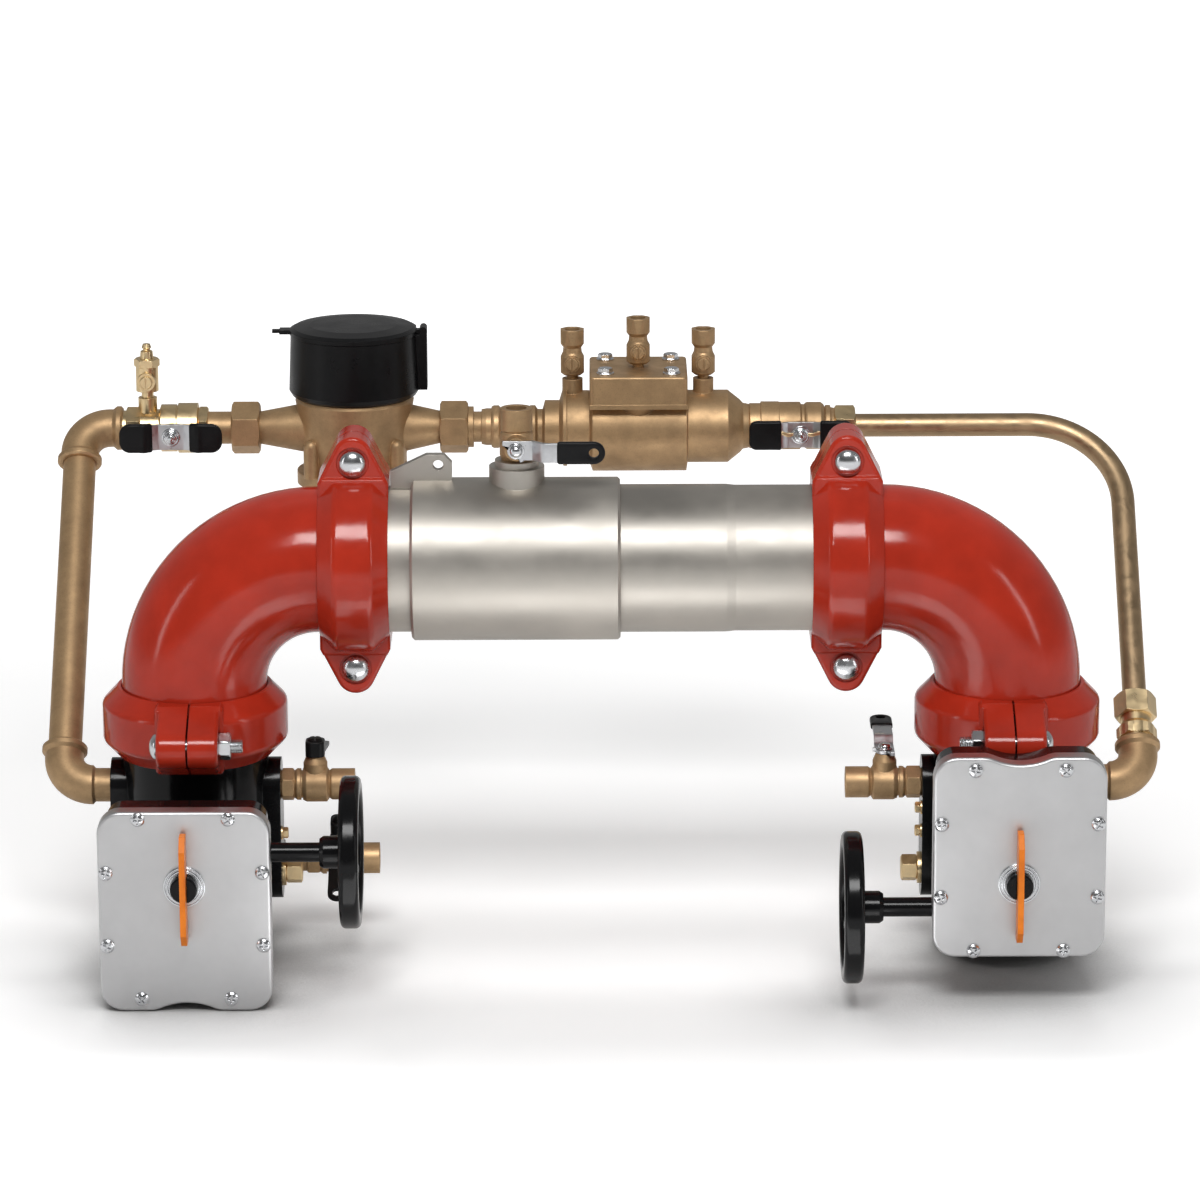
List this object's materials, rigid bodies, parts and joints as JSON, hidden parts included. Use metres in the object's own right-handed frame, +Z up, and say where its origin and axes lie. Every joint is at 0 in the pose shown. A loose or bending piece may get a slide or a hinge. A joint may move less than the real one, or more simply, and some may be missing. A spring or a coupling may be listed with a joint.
{
  "type": "backflow detector assembly",
  "caption": "Double check backflow detector assembly with grooved elbows, gear operated butterfly valves and a metered bypass line.",
  "frame": {"origin": "centre of the inlet valve's lower end face", "axes": "+X from the inlet leg to the outlet leg, +Y away from the gear operators towards the bypass, +Z up along the inlet leg"},
  "size_m": [0.888, 0.4858, 0.4618],
  "materials": {
    "stainless": "satin rolled stainless",
    "seat_bronze": "machined bronze",
    "red_enamel": "glossy red enamel on castings",
    "black_rubber": "moulded rubber",
    "bright_steel": "bright zinc plated steel",
    "black_enamel": "glossy black enamel",
    "disc_nickel": "nickel plated iron",
    "orange_flag": "semi gloss orange coating",
    "cover_steel": "bead blasted bright cover",
    "bright_brass": "polished brass",
    "cast_bronze": "satin cast bronze",
    "black_grip": "dipped black vinyl",
    "lever_steel": "plated steel strap",
    "register_face": "register capsule",
    "black_plastic": "moulded black plastic",
    "tube_copper": "drawn copper tube, dull bronze tone"
  },
  "bodies": {
    "root": {"check_housing": "stainless", "access_sleeve": "stainless", "check_seats": "seat_bronze", "inlet_elbow": "red_enamel", "outlet_elbow": "red_enamel", "couplings": "red_enamel", "coupling_gaskets": "black_rubber", "coupling_bolts": "bright_steel", "inlet_valve_body": "black_enamel", "outlet_valve_body": "black_enamel", "valve_seats": "black_rubber", "inlet_gearbox": "black_enamel", "outlet_gearbox": "black_enamel", "inlet_gear_cover": "cover_steel", "outlet_gear_cover": "cover_steel", "gear_cover_screws": "bright_steel", "port_plugs": "bright_brass", "valve_cocks": "cast_bronze", "main_test_cock": "cast_bronze", "inlet_street_elbow": "cast_bronze", "outlet_street_elbow": "cast_bronze", "riser_pipe": "cast_bronze", "riser_top_elbow": "cast_bronze", "inlet_bypass_valve": "bright_brass", "outlet_bypass_valve": "cast_bronze", "bleed_cock": "bright_brass", "bypass_fittings": "cast_bronze", "meter_union_nuts": "cast_bronze", "meter_body": "cast_bronze", "meter_register": "register_face", "register_box": "black_plastic", "bypass_check_body": "cast_bronze", "bypass_check_cover": "cast_bronze", "check_cover_bolts": "bright_steel", "test_cocks": "cast_bronze", "tube_fittings": "bright_brass", "bypass_tube": "tube_copper"},
    "inlet_disc": {"inlet_disc": "disc_nickel", "inlet_stem": "black_enamel", "inlet_flag": "orange_flag"},
    "outlet_disc": {"outlet_disc": "disc_nickel", "outlet_stem": "black_enamel", "outlet_flag": "orange_flag"},
    "inlet_handwheel": {"inlet_handwheel": "black_enamel", "inlet_worm_shaft": "black_enamel"},
    "outlet_handwheel": {"outlet_handwheel": "black_enamel", "outlet_worm_shaft": "black_enamel"},
    "inlet_clapper": {"inlet_clapper": "seat_bronze"},
    "outlet_clapper": {"outlet_clapper": "seat_bronze"},
    "register_lid": {"register_lid": "black_plastic"},
    "inlet_bypass_handle": {"inlet_bypass_handle": "lever_steel"},
    "outlet_bypass_handle": {"outlet_bypass_handle": "lever_steel"},
    "main_cock_lever": {"main_cock_lever": "lever_steel"},
    "inlet_upper_lever": {"inlet_upper_lever": "black_grip"},
    "inlet_lower_lever": {"inlet_lower_lever": "black_grip"},
    "outlet_lever": {"outlet_lever": "lever_steel"},
    "bleed_screw": {"bleed_screw": "bright_brass"},
    "test_cock_screw_1": {"test_cock_screw_1": "cast_bronze"},
    "test_cock_screw_2": {"test_cock_screw_2": "cast_bronze"},
    "test_cock_screw_3": {"test_cock_screw_3": "cast_bronze"}
  },
  "joints": [
    {"name": "inlet_disc_turn", "type": "hinge", "parent": "root", "child": "inlet_disc", "pos_m": [0, 0, 0.0897], "axis": [0, -1, 0], "range_deg": [0, 90]},
    {"name": "inlet_handwheel_turn", "type": "hinge", "parent": "root", "child": "inlet_handwheel", "pos_m": [0, -0.139, 0.1127], "axis": [1, 0, 0], "range_deg": [0, 1800]},
    {"name": "outlet_disc_turn", "type": "hinge", "parent": "root", "child": "outlet_disc", "pos_m": [0.64, 0, 0.0897], "axis": [0, -1, 0], "range_deg": [0, 90]},
    {"name": "outlet_handwheel_turn", "type": "hinge", "parent": "root", "child": "outlet_handwheel", "pos_m": [0.64, -0.139, 0.0667], "axis": [-1, 0, 0], "range_deg": [0, 1800]},
    {"name": "inlet_clapper_swing", "type": "hinge", "parent": "root", "child": "inlet_clapper", "pos_m": [0.2295, 0, 0.351], "axis": [0, -1, 0], "range_deg": [0, 60], "stiffness_Nm_per_rad": 0.05, "springref_deg": -20.05},
    {"name": "outlet_clapper_swing", "type": "hinge", "parent": "root", "child": "outlet_clapper", "pos_m": [0.3595, 0, 0.351], "axis": [0, -1, 0], "range_deg": [0, 60], "stiffness_Nm_per_rad": 0.05, "springref_deg": -20.05},
    {"name": "register_lid_swing", "type": "hinge", "parent": "root", "child": "register_lid", "pos_m": [0.1758, 0.23476, 0.44246], "axis": [0, 1, 0], "range_deg": [0, 110]},
    {"name": "inlet_bypass_handle_turn", "type": "hinge", "parent": "root", "child": "inlet_bypass_handle", "pos_m": [-0.03, 0.23476, 0.35996], "axis": [0, 1, 0], "range_deg": [0, 90]},
    {"name": "outlet_bypass_handle_turn", "type": "hinge", "parent": "root", "child": "outlet_bypass_handle", "pos_m": [0.4837, 0.23476, 0.35996], "axis": [0, 1, 0], "range_deg": [0, 90]},
    {"name": "main_cock_lever_turn", "type": "hinge", "parent": "root", "child": "main_cock_lever", "pos_m": [0.255, 0, 0.402], "axis": [0, -1, 0], "range_deg": [0, 90]},
    {"name": "inlet_upper_lever_turn", "type": "hinge", "parent": "root", "child": "inlet_upper_lever", "pos_m": [0.094, 0, 0.1252], "axis": [0, 0, -1], "range_deg": [0, 90]},
    {"name": "inlet_lower_lever_turn", "type": "hinge", "parent": "root", "child": "inlet_lower_lever", "pos_m": [0.1116, 0.03, 0.0542], "axis": [0, -0.2588, 0.9659], "range_deg": [0, 90]},
    {"name": "outlet_lever_turn", "type": "hinge", "parent": "root", "child": "outlet_lever", "pos_m": [0.544, 0, 0.1252], "axis": [0, 0, 1], "range_deg": [0, 90]},
    {"name": "bleed_screw_turn", "type": "hinge", "parent": "root", "child": "bleed_screw", "pos_m": [-0.051, 0.23476, 0.40096], "axis": [0, 1, 0], "range_deg": [0, 90]},
    {"name": "test_cock_screw_1_turn", "type": "hinge", "parent": "root", "child": "test_cock_screw_1", "pos_m": [0.2976, 0.23476, 0.41466], "axis": [0, 1, 0], "range_deg": [0, 90]},
    {"name": "test_cock_screw_2_turn", "type": "hinge", "parent": "root", "child": "test_cock_screw_2", "pos_m": [0.3515, 0.23476, 0.42396], "axis": [0, 1, 0], "range_deg": [0, 90]},
    {"name": "test_cock_screw_3_turn", "type": "hinge", "parent": "root", "child": "test_cock_screw_3", "pos_m": [0.4048, 0.23476, 0.41466], "axis": [0, 1, 0], "range_deg": [0, 90]}
  ],
  "couplings": [
    {"joint": "inlet_handwheel_turn", "follows": "inlet_disc_turn", "ratio": 20},
    {"joint": "outlet_handwheel_turn", "follows": "outlet_disc_turn", "ratio": 20}
  ]
}
